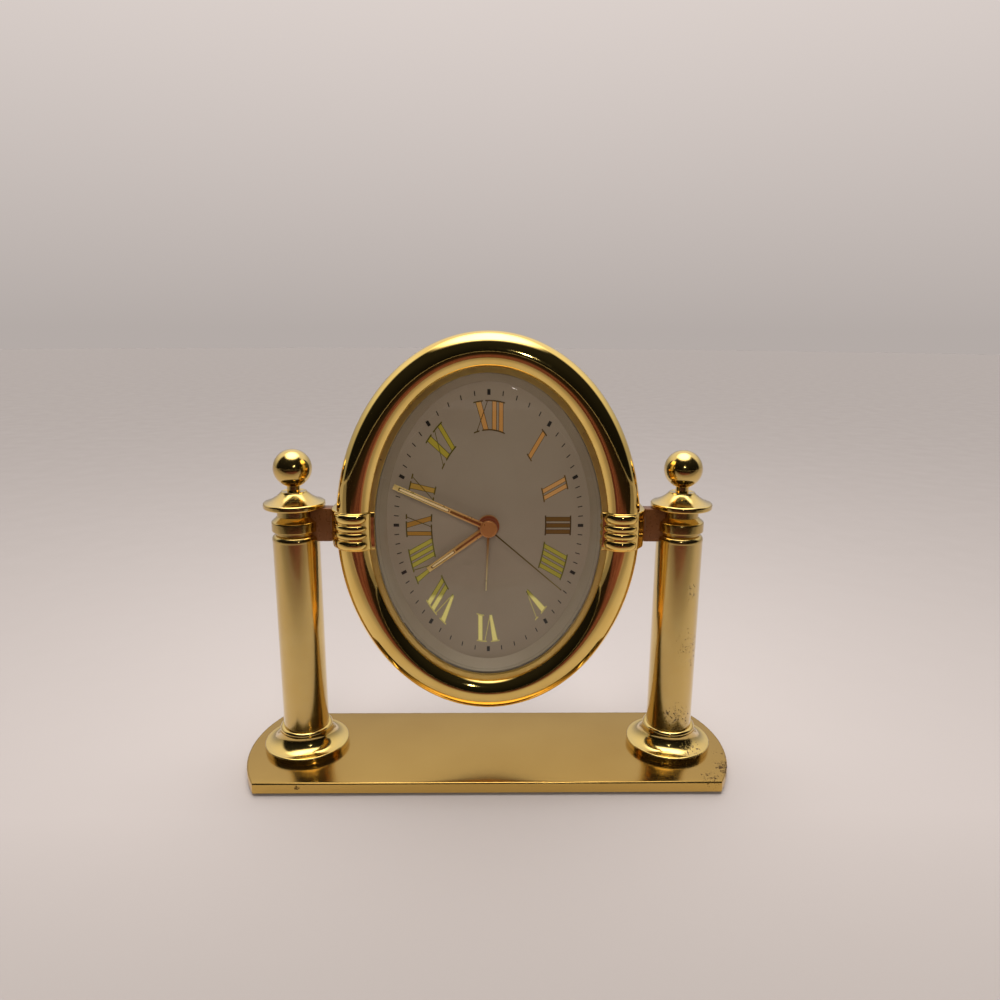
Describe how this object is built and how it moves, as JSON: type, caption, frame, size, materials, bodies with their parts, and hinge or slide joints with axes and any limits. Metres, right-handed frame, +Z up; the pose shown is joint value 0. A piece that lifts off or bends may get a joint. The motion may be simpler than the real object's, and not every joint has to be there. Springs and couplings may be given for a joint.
{
  "type": "swing-frame desk alarm clock",
  "caption": "Oval alarm clock head with a rolled bezel, hung to tilt between round columns with ball finials on a flat base plate.",
  "frame": {"origin": "on the underside of the base pad, midway between the two column axes", "axes": "+X to the clock's right as seen from the front, +Y to its back, +Z up; the dial faces -Y"},
  "size_m": [0.1718, 0.0476, 0.1528],
  "materials": {
    "polished_brass": "polished and lacquered, with small pits and scratches",
    "bronzed_brass": "brown lacquered, satin",
    "base_felt": "short black felt",
    "plain_steel": "zinc coated, turned",
    "nylon": "natural nylon",
    "clear_glass": "clear, bevelled round the edge",
    "dial_white": "silver white, satin",
    "hand_brass": "polished",
    "hand_cream": "pale cream filling",
    "black_plastic": "fine moulded texture",
    "red_plastic": "moulded",
    "white_plastic": "moulded, natural",
    "copper_wire": "enamelled winding",
    "board_green": "solder mask",
    "battery_foil": "printed foil"
  },
  "bodies": {
    "stand": {"base_plate": "polished_brass", "base_pad": "base_felt", "left_foot_flange": "polished_brass", "right_foot_flange": "polished_brass", "left_column_tube": "polished_brass", "right_column_tube": "polished_brass", "left_capital": "polished_brass", "right_capital": "polished_brass", "left_cap_disc": "polished_brass", "right_cap_disc": "polished_brass", "ball_finials": "polished_brass", "tie_rods": "plain_steel", "tie_rod_nuts": "plain_steel", "left_hanger_bar": "bronzed_brass", "right_hanger_bar": "bronzed_brass", "pivot_pins": "bronzed_brass", "tilt_washers": "nylon"},
    "head": {"bezel_ring": "polished_brass", "left_rib_collar": "polished_brass", "right_rib_collar": "polished_brass", "lens": "clear_glass", "dial_ring": "dial_white", "dial_plate": "dial_white", "retaining_ring": "black_plastic", "back_case": "black_plastic", "case_screws": "plain_steel", "movement_front_plate": "black_plastic", "centre_nut": "hand_brass", "middle_plate": "white_plastic", "rear_plate": "white_plastic", "plate_pillars": "plain_steel", "movement_case": "black_plastic", "stator": "plain_steel", "coil": "copper_wire", "circuit_board": "board_green", "buzzer_disc": "hand_brass", "battery_cell": "battery_foil", "battery_contacts": "plain_steel"},
    "door": {"battery_door": "black_plastic"},
    "switch": {"alarm_switch": "red_plastic"},
    "minute": {"minute_hand": "hand_brass", "minute_hand_lume": "hand_cream", "cannon_pinion": "white_plastic"},
    "hour": {"hour_hand": "hand_brass", "hour_hand_lume": "hand_cream", "hour_wheel": "white_plastic"},
    "motion": {"motion_wheel": "white_plastic"},
    "time_setting": {"time_set_arbor": "white_plastic", "time_set_knob": "black_plastic"},
    "seconds": {"second_hand": "hand_brass", "seconds_wheel": "white_plastic"},
    "third": {"third_wheel": "white_plastic"},
    "centre": {"centre_wheel": "white_plastic"},
    "intermediate": {"intermediate_wheel": "white_plastic"},
    "motor": {"rotor": "white_plastic"},
    "alarm": {"alarm_hand": "hand_brass", "alarm_wheel": "white_plastic"},
    "alarm_setting": {"alarm_set_arbor": "white_plastic", "alarm_set_knob": "black_plastic"}
  },
  "joints": [
    {"name": "head_tilt", "type": "hinge", "parent": "stand", "child": "head", "pos_m": [0, 0, 0.0885], "axis": [1, 0, 0], "continuous": true},
    {"name": "minute_hand_turn", "type": "hinge", "parent": "head", "child": "minute", "pos_m": [0, 0, 0.0885], "axis": [0, 1, 0], "continuous": true},
    {"name": "hour_hand_turn", "type": "hinge", "parent": "head", "child": "hour", "pos_m": [0, 0, 0.0885], "axis": [0, 1, 0], "continuous": true},
    {"name": "motion_wheel_turn", "type": "hinge", "parent": "head", "child": "motion", "pos_m": [0.0096, 0, 0.0885], "axis": [0, 1, 0], "continuous": true},
    {"name": "time_set_turn", "type": "hinge", "parent": "head", "child": "time_setting", "pos_m": [0.0204, 0, 0.0885], "axis": [0, 1, 0], "continuous": true},
    {"name": "second_hand_turn", "type": "hinge", "parent": "head", "child": "seconds", "pos_m": [0, 0, 0.0885], "axis": [0, 1, 0], "continuous": true},
    {"name": "third_wheel_turn", "type": "hinge", "parent": "head", "child": "third", "pos_m": [0.0045, 0, 0.09629], "axis": [0, 1, 0], "continuous": true},
    {"name": "centre_wheel_turn", "type": "hinge", "parent": "head", "child": "centre", "pos_m": [0, 0, 0.0885], "axis": [0, 1, 0], "continuous": true},
    {"name": "intermediate_wheel_turn", "type": "hinge", "parent": "head", "child": "intermediate", "pos_m": [-0.00385, 0, 0.09517], "axis": [0, 1, 0], "continuous": true},
    {"name": "rotor_turn", "type": "hinge", "parent": "head", "child": "motor", "pos_m": [-0.00523, 0, 0.10297], "axis": [0, 1, 0], "continuous": true},
    {"name": "alarm_set_turn", "type": "hinge", "parent": "head", "child": "alarm_setting", "pos_m": [-0.0152, 0, 0.0885], "axis": [0, 1, 0], "continuous": true},
    {"name": "alarm_hand_turn", "type": "hinge", "parent": "head", "child": "alarm", "pos_m": [0, 0, 0.0885], "axis": [0, 1, 0], "continuous": true},
    {"name": "alarm_switch_slide", "type": "slide", "parent": "head", "child": "switch", "axis": [1, 0, 0], "range_m": [0, 0.005]},
    {"name": "battery_door_pull", "type": "slide", "parent": "head", "child": "door", "axis": [0, 1, 0], "range_m": [0, 0.02]}
  ],
  "couplings": [
    {"joint": "hour_hand_turn", "follows": "minute_hand_turn", "ratio": 0.083333},
    {"joint": "motion_wheel_turn", "follows": "minute_hand_turn", "ratio": -0.33333},
    {"joint": "time_set_turn", "follows": "minute_hand_turn", "ratio": 0.66667},
    {"joint": "third_wheel_turn", "follows": "second_hand_turn", "ratio": -0.13333},
    {"joint": "centre_wheel_turn", "follows": "second_hand_turn", "ratio": 0.016667},
    {"joint": "intermediate_wheel_turn", "follows": "second_hand_turn", "ratio": -6},
    {"joint": "rotor_turn", "follows": "second_hand_turn", "ratio": 30},
    {"joint": "alarm_hand_turn", "follows": "alarm_set_turn", "ratio": -0.9}
  ]
}
